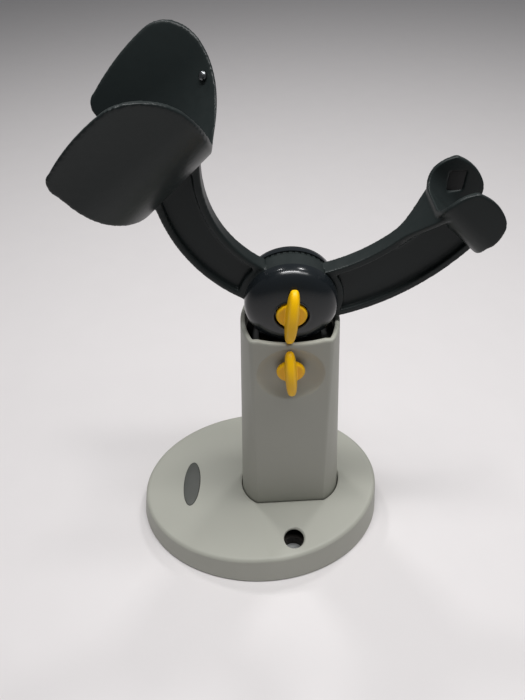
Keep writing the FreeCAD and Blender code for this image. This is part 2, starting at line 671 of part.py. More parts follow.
def make_covers():
    front = cover("front_cover", CHEEK_FRONT, -1)
    sink = hub_rod("front_sink", f"{CHEEK_FRONT} - dome_rise - 1", "dome_sink_radius", "dome_sink + 1")
    bore = hub_rod("front_bore", "-40", "screw_radius + face_gap", "40")
    pilots = [rod(f"front_pilot_{i}", (x, CHEEK_FRONT + " - 3", z), "1.3", "20", ALONG_Y)
              for i, (x, z) in enumerate(cover_screw_spots())]
    node("front_cover", cut("front_cover_cut", front, sink, bore, *pilots))

    back = cover("back_cover", BACK_OUT, 1)
    pocket = hexagon("tilt_nut_pocket", ("column_x", BACK_OUT + " - 1", "hub_z"), "nut_radius + 0.1",
                     "nut_thick + 1")
    heads = [rod(f"cover_sink_{i}", (x, BACK_OUT + " + 3", z), "2.7", "20", ALONG_Y)
             for i, (x, z) in enumerate(cover_screw_spots())]
    holes = [rod(f"cover_hole_{i}", (x, "0", z), "1.3", "40", ALONG_Y)
             for i, (x, z) in enumerate(cover_screw_spots())]
    node("back_cover", cut("back_cover_cut", back, pocket, *heads, *holes))

    screws = []
    for index, (x, z) in enumerate(cover_screw_spots()):
        head = rod(f"cover_screw_head_{index}", (x, BACK_OUT + " + 3", z), "2.6", "1.6", ALONG_Y)
        stem = rod(f"cover_screw_stem_{index}", (x, BACK_OUT + " + 3 - 6", z), "1.3", "6", ALONG_Y)
        screws.append(fuse(f"cover_screw_{index}", head, stem))
    node("cover_screws", group("cover_screw_group", screws))


def make_hub_core():
    bush = cut("bush_cut", hub_rod("bush_rod", CHEEK_FRONT, "bush_radius",
                                   f"{BACK_OUT} + cheek_in + cheek_thick"),
               hub_rod("bush_bore", "-40", "screw_radius + face_gap", "80"))
    node("tilt_bush", bush)

    blank = hub_rod("detent_blank", "ring_back + face_gap", "hub_radius - 0.2", "detent_thick")
    hole = hub_rod("detent_hole", "-10", "hub_radius - 9", "40")
    teeth = int(size("detent_teeth"))
    notches = []
    for index in range(teeth):
        turn = Rotation(Vector(0, 1, 0), 360.0 * index / teeth)
        notch = doc.addObject("Part::Box", f"detent_notch_{index}")
        notch.Length, notch.Width, notch.Height = 1.5, 4, 3
        notch.Placement = Placement(
            Vector(size("column_x"), size("ring_back") - 1, size("hub_z")), turn).multiply(
            Placement(Vector(-0.75, 0, size("hub_radius") - 1.3), Rotation()))
        notches.append(notch)
    pilots = [rod(f"detent_pilot_{i}", (x, "-40", z), "1.3", "80", ALONG_Y)
              for i, (x, z) in enumerate(cover_screw_spots())]
    node("detent_ring", cut("detent_cut", blank, hole, *notches, *pilots))

    nut = cut("tilt_nut_cut", hexagon("tilt_nut_blank", ("column_x", BACK_OUT, "hub_z"), "nut_radius",
                                      "nut_thick - 0.2"),
              hub_rod("tilt_nut_bore", "-40", "screw_radius + fit", "80"))
    node("tilt_nut", nut)


make_column()
screw_group("column_screws", column_screw_spots())
screw_group("plate_screws", plate_screw_spots())
make_guide()
make_height_nut()
make_mast()
make_covers()
make_hub_core()


# ---------------------------------------------------------------------------------------------
# Arms and cups
# ---------------------------------------------------------------------------------------------
RING_SPLIT = "(ring_back - ring_front) / 2"
STUD_LEAN = -40.0      # the rear wall leans back and curls under there, degrees


def sector(name, arm, shrink, start, sweep, back, depth):
    """A flat piece of a curved arm: between two radii, from y = back towards the front."""
    centre = (f"column_x + {arm}_arc_x", back, f"hub_z + {arm}_arc_z")
    turn = FRONTWARD.multiply(Rotation(Vector(0, 0, 1), start))
    full = rod(name + "_full", centre, f"{arm}_arc_out - {shrink}", depth, turn)
    full.Angle = sweep
    inside = rod(name + "_inside", (centre[0], back + " + 1", centre[2]),
                 f"{arm}_arc_in + {shrink}", f"{depth} + 2", turn)
    return cut(name, full, inside)


class Trough:
    """A flared cup drawn in its own frame: s runs along its floor, n stands up from the floor."""

    def __init__(self, cup, stations):
        slope = math.radians(size(cup + "_slope"))
        self.start = Vector(size("column_x") + size(cup + "_x"), 0, size("hub_z") + size(cup + "_z"))
        self.along = Vector(math.cos(slope), 0, math.sin(slope))
        self.up = Vector(-math.sin(slope), 0, math.cos(slope))
        self.stations = stations

    def spot(self, s, y, n):
        return self.start + self.along * s + self.up * n + Vector(0, y, 0)

    def section(self, station, inset):
        """The U outline at one station, closed across its open top."""
        s, floor_half, corner, lean, floor, top = station
        lean = math.radians(lean)
        radius = corner - inset
        centre_n = floor + corner
        wall_y = floor_half + radius * math.cos(lean)
        wall_n = centre_n - radius * math.sin(lean)
        mid_turn = math.radians(45) + lean / 2
        mid_y = floor_half + radius * math.cos(mid_turn)
        mid_n = centre_n - radius * math.sin(mid_turn)
        top_y = wall_y + (top - wall_n) * math.tan(lean)
        floor_n = centre_n - radius
        right = [self.spot(s, top_y, top), self.spot(s, wall_y, wall_n), self.spot(s, mid_y, mid_n),
                 self.spot(s, floor_half, floor_n)]
        left = [self.spot(s, -top_y, top), self.spot(s, -wall_y, wall_n), self.spot(s, -mid_y, mid_n),
                self.spot(s, -floor_half, floor_n)]
        return Part.Wire([Part.LineSegment(right[0], right[1]).toShape(),
                          Part.Arc(right[1], right[2], right[3]).toShape(),
                          Part.LineSegment(right[3], left[3]).toShape(),
                          Part.Arc(left[3], left[2], left[1]).toShape(),
                          Part.LineSegment(left[1], left[0]).toShape(),
                          Part.LineSegment(left[0], right[0]).toShape()])

    def solid(self, inset):
        wires = [self.section(station, inset) for station in self.stations]
        return Part.makeLoft(wires, True, len(wires) == 2)

    def prism(self, edges):
        """The side outline of the cup, carried through its whole width."""
        face = Part.Face(Part.Wire([edge.toShape() for edge in edges]))
        face.translate(Vector(0, -90, 0))
        return face.extrude(Vector(0, 180, 0))


def head_cup():
    """The big cup: its two cheeks spread wider towards the upper end of its floor."""
    length, height = size("head_cup_length"), size("head_cup_height")
    top = height + 6
    # Station: along the floor, half floor, corner radius, lean of the wall, floor height, open top.
    trough = Trough("head_cup", [(-8, 2.0, 37.5, 5.0, 0, top), (length * 0.41, 1.5, 42.0, 17.0, 0, top),
                                 (length + 3, 0.8, 46.5, 29.0, 0, top)])

    def rim(along, above):
        return trough.spot(length * along, 0, height * above)

    low, below = trough.spot(0, 0, 0), trough.up * -3
    high = rim(0.70, 0)
    outline = [
        Part.LineSegment(low + below, low),
        Part.Arc(low, rim(-0.070, 0.40), rim(-0.045, 0.80)),
        Part.Arc(rim(-0.045, 0.80), rim(-0.020, 0.925), rim(0.085, 0.975)),
        Part.Arc(rim(0.085, 0.975), rim(0.41, 1.0), rim(0.71, 0.97)),
        Part.Arc(rim(0.71, 0.97), rim(0.92, 0.82), rim(1.0, 0.56)),
        Part.Arc(rim(1.0, 0.56), rim(0.925, 0.25), high),
        Part.LineSegment(high, high + below),
        Part.LineSegment(high + below, low + below),
    ]
    return trough, trough.prism(outline)


def hand_cup():
    """The small cup: a straight U with rounded ears."""
    length, height = size("hand_cup_length"), size("hand_cup_height")
    corner = size("hand_cup_corner")
    floor_half = size("hand_cup_half") - corner
    stations = [(s, floor_half, corner, 1.5, 0, height + 4) for s in (-8, length + 8)]
    trough = Trough("hand_cup", stations)

    def rim(along, above):
        return trough.spot(length * along, 0, height * above)

    low, below = trough.spot(0, 0, 0), trough.up * -3
    high = rim(1.16, 0)
    outline = [
        Part.LineSegment(low + below, low),
        Part.Arc(low, rim(-0.165, 0.50), rim(-0.03, 0.90)),
        Part.Arc(rim(-0.03, 0.90), rim(0.36, 1.0), rim(0.76, 0.92)),
        Part.Arc(rim(0.76, 0.92), rim(0.99, 0.65), rim(1.03, 0.30)),
        Part.LineSegment(rim(1.03, 0.30), high),
        Part.LineSegment(high, high + below),
        Part.LineSegment(high + below, low + below),
    ]
    return trough, trough.prism(outline)


def make_arm(name, arm, start, sweep, cup, ring_from, ring_depth, extras):
    """One moulding: half of the hub's ring, a flanged arm and its cup."""
    trough, side = cup
    block = computed(name + "_cup_block", trough.solid(0).common(side))
    hollow = computed(name + "_cup_hollow", trough.solid(size("cup_wall")))
    cup_shell = cut(name + "_cup_shell", block, hollow)
    blank = sector(name + "_blank", arm, "0", start, sweep, "arm_half", "2 * arm_half")
    barrel = hub_rod(name + "_barrel", "-30", "hub_radius", "60")
    room = hub_rod(name + "_room", "-30", "hub_radius + flange", "60")
    front_pocket = sector(name + "_front_pocket", arm, "flange", start, sweep, "-web_half",
                          "arm_half")
    back_pocket = sector(name + "_back_pocket", arm, "flange", start, sweep,
                         "web_half + arm_half", "arm_half")
    pockets = cut(name + "_pockets", fuse(name + "_pocket_pair", front_pocket, back_pocket), room)
    beam = cut(name + "_beam", blank, barrel, block, pockets)
    ring = hub_rod(name + "_ring", ring_from, "hub_radius", ring_depth)
    bore = hub_rod(name + "_bore", "-30", "bush_radius + fit", "60")
    whole = fuse(name + "_whole", beam, ring, cup_shell)
    node(name, cut(name + "_cut", whole, bore, *extras))


def make_arms():
    head = head_cup()
    hand = hand_cup()
    stud_hole, stud = cup_stud(head[0])
    magnet_seat, magnet = magnet_cover(hand[0])
    make_arm("head_arm", "head", -194, 80, head, "-ring_front", f"{RING_SPLIT} + ring_front",
             [stud_hole])
    make_arm("handle_arm", "hand", -84, 50, hand, RING_SPLIT, f"ring_back - {RING_SPLIT}",
             [magnet_seat])
    node("cup_stud", stud)
    node("magnet_cover", magnet)


def wall_rod(name, spot, turn, height):
    """A cylinder of the stud's stem radius, placed on a wall."""
    item = doc.addObject("Part::Cylinder", name)
    bind(item, "Radius", "stud_radius - 0.9")
    bind(item, "Height", height)
    item.Placement = Placement(spot, turn)
    return item


def cup_stud(trough):
    """The small domed stud on the inside of the head cup's rear wall, square to the wall."""
    foot = trough.spot(size("stud_along"), 0, size("stud_above"))
    hollow = trough.solid(size("cup_wall"))
    reach = Part.makeLine(foot, foot + Vector(0, 90, 0)).common(hollow)
    surface = Vector(foot.x, reach.BoundBox.YMax, foot.z)
    inward = Rotation(trough.along, STUD_LEAN).multVec(Vector(0, -1, 0))
    turn = Rotation(Vector(0, 0, 1), inward)
    hole = wall_rod("stud_hole", surface - inward * 8, turn, "12")
    stem = wall_rod("stud_stem", surface - inward * size("cup_wall"), turn, "cup_wall + 0.2")
    head = doc.addObject("Part::Ellipsoid", "stud_head")
    head.Angle1, head.Angle2, head.Angle3 = -90, 90, 360
    bind(head, "Radius1", "stud_radius * 0.6")
    bind(head, "Radius2", "stud_radius")
    bind(head, "Radius3", "stud_radius")
    head.Placement = Placement(surface + inward * 1.1, turn)
    return hole, fuse("cup_stud_fused", stem, head)


def magnet_cover(trough):
    """The plate let into the inside of the handle cup's rear ear, over its magnet."""
    place = trough.spot(size("hand_cup_length") * 0.34, 0, size("hand_cup_height") * 0.56)
    wall = "hand_cup_half - cup_wall"
    half_long, half_wide = "magnet_long / 2", "magnet_wide / 2"
    seat = box("magnet_seat", (f"{place.x} - {half_wide}", wall + " - 6", f"{place.z} - {half_long}"),
               "magnet_wide", "magnet_thick + 6", "magnet_long")
    plate = box("magnet_plate", (f"{place.x} - {half_wide} + 0.15", wall + " + magnet_sink",
                                 f"{place.z} - {half_long} + 0.15"),
                "magnet_wide - 0.3", "magnet_thick - magnet_sink", "magnet_long - 0.3")
    return seat, plate


# ---------------------------------------------------------------------------------------------
# Wing knobs and their screws
# ---------------------------------------------------------------------------------------------
def wing_knob(name, centre, back, turn):
    """A round flange with a half-oval wing: back is where the flange's rear face lies."""
    x, _, z = centre
    flange = rod(name + "_flange", (x, back, z), "knob_radius", "knob_flange", FRONTWARD)
    outline = doc.addObject("Part::Ellipse", name + "_wing_line")
    bind(outline, "MajorRadius", "wing_long / 2")
    bind(outline, "MinorRadius", "wing_deep")
    put(outline, ("-wing_thick / 2", "0", "0"), Rotation(Vector(0, 1, 0), -90))
    oval = doc.addObject("Part::Extrusion", name + "_oval")
    oval.Base = outline
    oval.DirMode = "Normal"
    oval.Solid = True
    bind(oval, "LengthFwd", "wing_thick")
    rear_half = box(name + "_rear_half", ("-wing_thick", "knob_flange / 5", "-wing_long"),
                    "2 * wing_thick", "2 * wing_deep", "2 * wing_long")
    wing = cut(name + "_wing", oval, rear_half)
    wing.Placement = Placement(Vector(), Rotation(Vector(0, 1, 0), turn))
    for axis, text in zip("xyz", (x, f"{back} - knob_flange", z)):
        bind(wing, f"Placement.Base.{axis}", text)
    doc.recompute()
    return fuse(name + "_fused", flange, wing)


def make_tilt_lock():
    floor = f"{CHEEK_FRONT} - dome_rise + dome_sink"
    washer = turned("tilt_washer_body", ("column_x", floor, "hub_z"),
                    [("screw_radius + face_gap", "0"), ("knob_radius - 0.4", "0"),
                     ("knob_radius - 0.4", "washer_thick"),
                     ("screw_radius + face_gap", "washer_thick")], FRONTWARD)
    node("tilt_washer", washer)
    back = f"{floor} - washer_thick - 0.1"
    node("tilt_knob", wing_knob("tilt_knob", HUB, back, size("tilt_knob_turn")))
    reach = f"{BACK_OUT} + nut_thick - 1 - ({back})"
    screw = turned("tilt_screw_body", ("column_x", back, "hub_z"),
                   [("0", "0"), ("screw_radius", "0"), ("screw_radius", f"{reach} - 0.8"),
                    ("screw_radius - 0.8", reach), ("0", reach)], ALONG_Y)
    node("tilt_screw", screw)


def make_height_lock():
    strip_face = "-mast_half_y - strip_thick - clamp_gap"
    shoe_back = f"{strip_face} - shoe_thick"
    shoe = turned("height_shoe_body", (HEIGHT_KNOB[0], strip_face, HEIGHT_KNOB[2]),
                  [("0", "0"), ("shoe_radius", "0"), ("shoe_radius", "shoe_thick - 0.5"),
                   ("shoe_radius - 0.5", "shoe_thick"), ("0", "shoe_thick")], FRONTWARD)
    node("height_shoe", shoe)
    back = "-column_depth_half + dish_depth - boss_proud - 0.1"
    node("height_knob", wing_knob("height_knob", HEIGHT_KNOB, back, size("height_knob_turn")))
    reach = f"{shoe_back} - 0.05 - ({back})"
    screw = turned("height_screw_body", (HEIGHT_KNOB[0], back, HEIGHT_KNOB[2]),
                   [("0", "0"), ("screw_radius", "0"), ("screw_radius", f"{reach} - 0.5"),
                    ("screw_radius - 0.5", reach), ("0", reach)], ALONG_Y)
    node("height_screw", screw)


make_arms()
make_tilt_lock()
make_height_lock()


# ---------------------------------------------------------------------------------------------
# Check and write
# ---------------------------------------------------------------------------------------------
doc.recompute()
for item in doc.Objects:
    if any(word in ("Invalid", "Error") for word in item.State):
        raise SystemExit(f"{item.Name} failed: {item.State}")
for item in NODES:
    if item.Shape.isNull() or not item.Shape.isValid() or not item.Shape.Solids:
        raise SystemExit(f"{item.Label} has no valid solid")
os.makedirs("parts", exist_ok=True)
for item in NODES:
    item.Shape.exportStep(f"parts/{item.Label}.step")
    print(f"{item.Label}: {len(item.Shape.Solids)} solid(s), {item.Shape.Volume / 1000:.2f} cm3")
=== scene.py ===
# %% [markdown]
# # A hands-free stand for a handheld scanner
# The stand has a heavy oval base, a tapered column, a mast that slides in it, and a tilting
# cradle with a large and a small cup. The CAD model gives every size and every moving body.
# This lesson dresses it: skins with soft edges, small repeated parts, and finishes.

# %% Load the frame
import json
import math

import bmesh
import bpy
from mathutils import Matrix, Vector


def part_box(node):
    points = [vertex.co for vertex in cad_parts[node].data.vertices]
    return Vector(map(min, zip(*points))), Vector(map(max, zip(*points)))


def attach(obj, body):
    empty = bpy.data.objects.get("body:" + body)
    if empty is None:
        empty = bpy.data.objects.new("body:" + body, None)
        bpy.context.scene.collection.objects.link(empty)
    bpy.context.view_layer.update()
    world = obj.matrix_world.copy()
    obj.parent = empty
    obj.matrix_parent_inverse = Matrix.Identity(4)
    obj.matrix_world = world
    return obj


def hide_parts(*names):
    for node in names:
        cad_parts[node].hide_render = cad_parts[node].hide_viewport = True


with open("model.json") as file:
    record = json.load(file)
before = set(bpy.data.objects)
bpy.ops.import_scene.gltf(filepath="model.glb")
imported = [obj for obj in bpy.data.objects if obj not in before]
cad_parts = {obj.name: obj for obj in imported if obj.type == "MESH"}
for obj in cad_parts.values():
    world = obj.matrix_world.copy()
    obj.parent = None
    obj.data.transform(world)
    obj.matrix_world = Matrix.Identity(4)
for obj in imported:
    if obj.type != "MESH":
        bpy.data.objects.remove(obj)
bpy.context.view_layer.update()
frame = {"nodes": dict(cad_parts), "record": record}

record = frame["record"]
body_of_node = {node: body for body, nodes in record["behaviour"]["bodies"].items() for node in nodes}
slot_of_node = {row["node"]: row["material_slot"] for row in record["subparts"]}

# %% [markdown]
# ## Camera
# The stand is seen from above and in front. The camera comes first, so that every later step
# can be judged from the place it will be looked at.

# %% Camera
CAMERA_PLACE = (0.01121, -0.23538, 0.44118)
CAMERA_PITCH = 46.33      # degrees below the horizon
CAMERA_YAW = -1.02
CAMERA_ROLL = -1.98

camera_data = bpy.data.cameras.new("camera")
camera_data.lens = 27.05
camera_data.sensor_width = 36
camera_data.clip_start = 0.01
camera = bpy.data.objects.new("camera", camera_data)
aim = Matrix.Rotation(math.radians(-CAMERA_YAW), 4, "Z")
tip = Matrix.Rotation(math.radians(90 - CAMERA_PITCH), 4, "X")
roll = Matrix.Rotation(math.radians(CAMERA_ROLL), 4, "Z")
camera.matrix_world = Matrix.Translation(CAMERA_PLACE) @ aim @ tip @ roll
bpy.context.scene.collection.objects.link(camera)
bpy.context.scene.camera = camera

# %% [markdown]
# ## Finishes
# Every plastic here is moulded in a textured tool, so it has a fine grain and slightly uneven
# gloss. One node group makes that grain for all of them, with its own values in each material.
# A second group makes what faces up paler in specks: a little dust, and a painted sheen where the light
# from above falls.

# %% The grain group
def new_group(name, inputs, outputs):
    """A shader node group with named sockets: (name, kind, default)."""
    group = bpy.data.node_groups.new(name, "ShaderNodeTree")
    for label, kind, default in inputs:
        socket = group.interface.new_socket(label, in_out="INPUT", socket_type=kind)
        socket.default_value = default
    for label, kind in outputs:
        group.interface.new_socket(label, in_out="OUTPUT", socket_type=kind)
    return group, group.nodes.new("NodeGroupInput"), group.nodes.new("NodeGroupOutput")


FLOAT, COLOUR, VECTOR = "NodeSocketFloat", "NodeSocketColor", "NodeSocketVector"
GREY = (0.5, 0.5, 0.5, 1)


def make_grain():
    group, given, made = new_group(
        "Moulded grain",
        [("Colour", COLOUR, GREY), ("Roughness", FLOAT, 0.5), ("Grain Scale", FLOAT, 1500.0),
         ("Grain Depth", FLOAT, 0.00003), ("Cloud", FLOAT, 0.1)],
        [("Colour", COLOUR), ("Roughness", FLOAT), ("Normal", VECTOR)])
    nodes, links = group.nodes, group.links
    place = nodes.new("ShaderNodeTexCoord")
    grain = nodes.new("ShaderNodeTexNoise")
    grain.inputs["Detail"].default_value = 3
    links.new(place.outputs["Object"], grain.inputs["Vector"])
    links.new(given.outputs["Grain Scale"], grain.inputs["Scale"])
    bump = nodes.new("ShaderNodeBump")
    bump.inputs["Strength"].default_value = 1.0
    links.new(given.outputs["Grain Depth"], bump.inputs["Distance"])
    links.new(grain.outputs["Fac"], bump.inputs["Height"])
    cloud = nodes.new("ShaderNodeTexNoise")
    cloud.inputs["Scale"].default_value = 28
    cloud.inputs["Detail"].default_value = 4
    links.new(place.outputs["Object"], cloud.inputs["Vector"])
    centred = nodes.new("ShaderNodeMath")
    centred.operation = "SUBTRACT"
    centred.inputs[1].default_value = 0.5
    links.new(cloud.outputs["Fac"], centred.inputs[0])
    spread = nodes.new("ShaderNodeMath")
    spread.operation = "MULTIPLY"
    links.new(centred.outputs[0], spread.inputs[0])
    links.new(given.outputs["Cloud"], spread.inputs[1])
    gloss = nodes.new("ShaderNodeMath")
    gloss.operation = "ADD"
    gloss.use_clamp = True
    links.new(given.outputs["Roughness"], gloss.inputs[0])
    links.new(spread.outputs[0], gloss.inputs[1])
    lift = nodes.new("ShaderNodeMath")
    lift.operation = "ADD"
    lift.inputs[1].default_value = 1.0
    links.new(spread.outputs[0], lift.inputs[0])
    tint = nodes.new("ShaderNodeVectorMath")
    tint.operation = "SCALE"
    links.new(given.outputs["Colour"], tint.inputs[0])
    links.new(lift.outputs[0], tint.inputs["Scale"])
    links.new(tint.outputs[0], made.inputs["Colour"])
    links.new(gloss.outputs[0], made.inputs["Roughness"])
    links.new(bump.outputs["Normal"], made.inputs["Normal"])
    return group


# Painted sheen and dust: faces that point up are mixed towards a paler colour in specks. This stands in for
# light from above as well as for dust.
def make_sheen_and_dust_group():
    group, given, made = new_group(
        "Dust and painted sheen",
        [("Colour", COLOUR, GREY), ("Dust And Sheen Colour", COLOUR, (0.3, 0.3, 0.29, 1)),
         ("Amount", FLOAT, 0.1)],
        [("Colour", COLOUR)])
    nodes, links = group.nodes, group.links
    facing = nodes.new("ShaderNodeNewGeometry")
    split = nodes.new("ShaderNodeSeparateXYZ")
    links.new(facing.outputs["Normal"], split.inputs[0])
    upward = nodes.new("ShaderNodeMapRange")
    upward.inputs["From Min"].default_value = 0.2
    links.new(split.outputs["Z"], upward.inputs["Value"])
    place = nodes.new("ShaderNodeTexCoord")
    specks = nodes.new("ShaderNodeTexNoise")
    specks.inputs["Scale"].default_value = 160
    specks.inputs["Detail"].default_value = 6
    links.new(place.outputs["Object"], specks.inputs["Vector"])
    some = nodes.new("ShaderNodeMath")
    some.operation = "MULTIPLY"
    links.new(upward.outputs[0], some.inputs[0])
    links.new(specks.outputs["Fac"], some.inputs[1])
    share = nodes.new("ShaderNodeMath")
    share.operation = "MULTIPLY"
    links.new(some.outputs[0], share.inputs[0])
    links.new(given.outputs["Amount"], share.inputs[1])
    mix = nodes.new("ShaderNodeMix")
    mix.data_type = "RGBA"
    links.new(share.outputs[0], mix.inputs["Factor"])
    links.new(given.outputs["Colour"], mix.inputs["A"])
    links.new(given.outputs["Dust And Sheen Colour"], mix.inputs["B"])
    links.new(mix.outputs["Result"], made.inputs["Colour"])
    return group


GRAIN = make_grain()
SHEEN_AND_DUST = make_sheen_and_dust_group()

# %% [markdown]
# The finishes are listed once, under the names the CAD record uses for them: light grey and
# charcoal mouldings, glossy charcoal covers, yellow knobs, and the small metal and rubber parts.

# %% The finishes
def srgb(red, green, blue):
    """A display colour, 0 to 255, as the linear colour that shaders use."""
    parts = [value / 255 for value in (red, green, blue)]
    return tuple(p / 12.92 if p <= 0.04045 else ((p + 0.055) / 1.055) ** 2.4 for p in parts) + (1,)


def finish(name, colour, roughness, metal=0.0, scale=1500.0, depth=0.00003, cloud=0.1, dust_and_sheen=0.0,
           coat=0.0, shine=0.5):
    material = bpy.data.materials.new(name)
    material.use_nodes = True
    nodes, links = material.node_tree.nodes, material.node_tree.links
    shader = nodes["Principled BSDF"]
    shader.inputs["Metallic"].default_value = metal
    shader.inputs["Coat Weight"].default_value = coat
    shader.inputs["Coat Roughness"].default_value = 0.12
    shader.inputs["Specular IOR Level"].default_value = shine
    grain = nodes.new("ShaderNodeGroup")
    grain.node_tree = GRAIN
    for label, value in (("Colour", colour), ("Roughness", roughness), ("Grain Scale", scale),
                         ("Grain Depth", depth), ("Cloud", cloud)):
        grain.inputs[label].default_value = value
    tint = grain.outputs["Colour"]
    # Upward faces made paler: dust, and a painted sheen from the light above.
    if dust_and_sheen:
        layer = nodes.new("ShaderNodeGroup")
        layer.node_tree = SHEEN_AND_DUST
        layer.inputs["Amount"].default_value = dust_and_sheen
        links.new(tint, layer.inputs["Colour"])
        tint = layer.outputs["Colour"]
    links.new(tint, shader.inputs["Base Color"])
    links.new(grain.outputs["Roughness"], shader.inputs["Roughness"])
    links.new(grain.outputs["Normal"], shader.inputs["Normal"])
    return material


FINISHES = {
    "grey_shell": finish("Light grey moulding", srgb(172, 172, 162), 0.5, cloud=0.05, shine=0.35),
    # Its upward faces get dust and a painted sheen, paler specks where the top light falls.
    "charcoal_plastic": finish("Charcoal moulding", srgb(30, 36, 36), 0.36, dust_and_sheen=0.05,
                               shine=0.22),
    "charcoal_gloss": finish("Glossy charcoal cover", srgb(26, 30, 33), 0.24, depth=0.00001,
                             coat=0.35, shine=0.25),
    "yellow_plastic": finish("Yellow knob", srgb(255, 196, 0), 0.42, depth=0.00002, cloud=0.05,
                             shine=0.3),
    "black_liner": finish("Black liner", srgb(18, 19, 20), 0.5),
    "badge_gloss": finish("Badge", srgb(66, 68, 63), 0.42, depth=0.00001, cloud=0.3),
    "zinc_steel": finish("Zinc plated steel", srgb(176, 178, 178), 0.32, metal=1.0, scale=900.0),
    "stud_chrome": finish("Steel stud", srgb(120, 122, 124), 0.3, metal=1.0, depth=0.0),
    "ballast_iron": finish("Cast ballast", srgb(70, 66, 62), 0.75, metal=0.6, scale=500.0, depth=0.0003),
    "foot_rubber": finish("Foot rubber", srgb(24, 24, 25), 0.8, scale=900.0, depth=0.00008),
}
print("finishes:", ", ".join(FINISHES))

# %% [markdown]
# ## Skins from loops
# Most pieces here are a stack of closed loops of points, joined by faces. A stack that wraps
# round to its first loop makes a shell with an opening; one with closed ends makes a solid.

# %% Skin helpers
MM = 0.001


def link(name, mesh):
    item = bpy.data.objects.new(name, mesh)
    bpy.context.scene.collection.objects.link(item)
    return item


def settle(mesh, sharp=35.0):
    """Merged, outward faces, smooth except where the surface turns a sharp corner."""
    work = bmesh.new()
    work.from_mesh(mesh)
    bmesh.ops.remove_doubles(work, verts=work.verts, dist=2e-6)
    bmesh.ops.recalc_face_normals(work, faces=work.faces)
    work.to_mesh(mesh)
    work.free()
    mesh.polygons.foreach_set("use_smooth", [True] * len(mesh.polygons))
    mesh.set_sharp_from_angle(angle=math.radians(sharp))
    mesh.update()


def skin(name, loops, wrap=False, sharp=35.0):
    """A skin over loops of points, in millimetres."""
    count = len(loops[0])
    points = [tuple(c * MM for c in point) for loop in loops for point in loop]
    faces = []
    rows = len(loops)
    for row in range(rows if wrap else rows - 1):
        low, high = row * count, (row + 1) % rows * count
        for index in range(count):
            after = (index + 1) % count
            faces.append((low + index, low + after, high + after, high + index))
    if not wrap:
        faces.append(tuple(range(count))[::-1])
        faces.append(tuple((rows - 1) * count + index for index in range(count)))
    mesh = bpy.data.meshes.new(name)
    mesh.from_pydata(points, [], faces)
    settle(mesh, sharp)
    return link(name, mesh)


def turned(name, centre, axis, profile, count=96, sharp=35.0, wrap=False):
    """A turned piece: the profile is (radius, distance along the axis), in millimetres."""
    axis = Vector(axis)
    side = axis.orthogonal().normalized()
    other = axis.cross(side)
    loops = []
    for radius, along in profile:
        loops.append([Vector(centre) + axis * along + (side * math.cos(t) + other * math.sin(t)) * radius
                      for t in (2 * math.pi * i / count for i in range(count))])
    return skin(name, loops, wrap=wrap, sharp=sharp)


def applied(item, sharp=35.0):
    """The item's modifiers made part of its mesh."""
    graph = bpy.context.evaluated_depsgraph_get()
    mesh = bpy.data.meshes.new_from_object(item.evaluated_get(graph))
    item.modifiers.clear()
    item.data = mesh
    settle(mesh, sharp)
    return item


def joined(name, *items):
    """Separate pieces as one object, left as they are."""
    work = bmesh.new()
    for item in items:
        work.from_mesh(item.data)
    mesh = bpy.data.meshes.new(name)
    work.to_mesh(mesh)
    work.free()
    for item in items:
        bpy.data.objects.remove(item)
    settle(mesh)
    return link(name, mesh)


def cut_away(item, *tools):
    """Subtracts closed tools from the item."""
    for tool in tools:
        cutter = item.modifiers.new("cut", "BOOLEAN")
        cutter.operation = "DIFFERENCE"
        cutter.solver = "EXACT"
        cutter.object = tool
    applied(item)
    for tool in tools:
        bpy.data.objects.remove(tool)
    return item


def melted(name, items, voxel, rounds, sharp=80.0):
    """Closed pieces that overlap, melted into one skin with soft edges and blended joins."""
    piece = joined(name, *items)
    remesh = piece.modifiers.new("melt", "REMESH")
    remesh.mode = "VOXEL"
    remesh.voxel_size = voxel * MM
    soften = piece.modifiers.new("soften", "SMOOTH")
    soften.factor = 0.5
    soften.iterations = rounds
    return applied(piece, sharp)


def copy_of(node, sharp=35.0):
    """A merged copy of a CAD node, with smooth curved faces."""
    mesh = frame["nodes"][node].data.copy()
    mesh.materials.clear()
    piece = link(node + "_skin", mesh)
    work = bmesh.new()
    work.from_mesh(mesh)
    bmesh.ops.remove_doubles(work, verts=work.verts, dist=5e-6)
    work.to_mesh(mesh)
    work.free()
    mesh.polygons.foreach_set("use_smooth", [True] * len(mesh.polygons))
    mesh.set_sharp_from_angle(angle=math.radians(sharp))
    return piece


def dress(piece, *nodes):
    """The piece stands for those nodes: it takes their finish and moves with their body."""
    piece.data.materials.clear()
    piece.data.materials.append(FINISHES[slot_of_node[nodes[0]]])
    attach(piece, body_of_node[nodes[0]])
    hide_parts(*nodes)
    print(f"{piece.name}: {len(piece.data.polygons)} faces, for {', '.join(nodes)}")
    return piece

# %% [markdown]
# ## Column outline
# The column's front and back are flat, its sides bow outwards, and its upright corners are
# rounded. The base's opening follows the same outline, so it is worked out once, at the foot
# and at the head, and every height between them is a straight mix.

# %% Column outline
COLUMN_X = 24.4
COLUMN_LOW, COLUMN_TOP = 3.2, 223.5
COLUMN_DEPTH = 21.3
COLUMN_FOOT = (42.4, 28.0, 2.6)       # half width, half flat, shift along X
COLUMN_HEAD = (30.2, 24.4, 0.0)
COLUMN_CORNER = 3.6


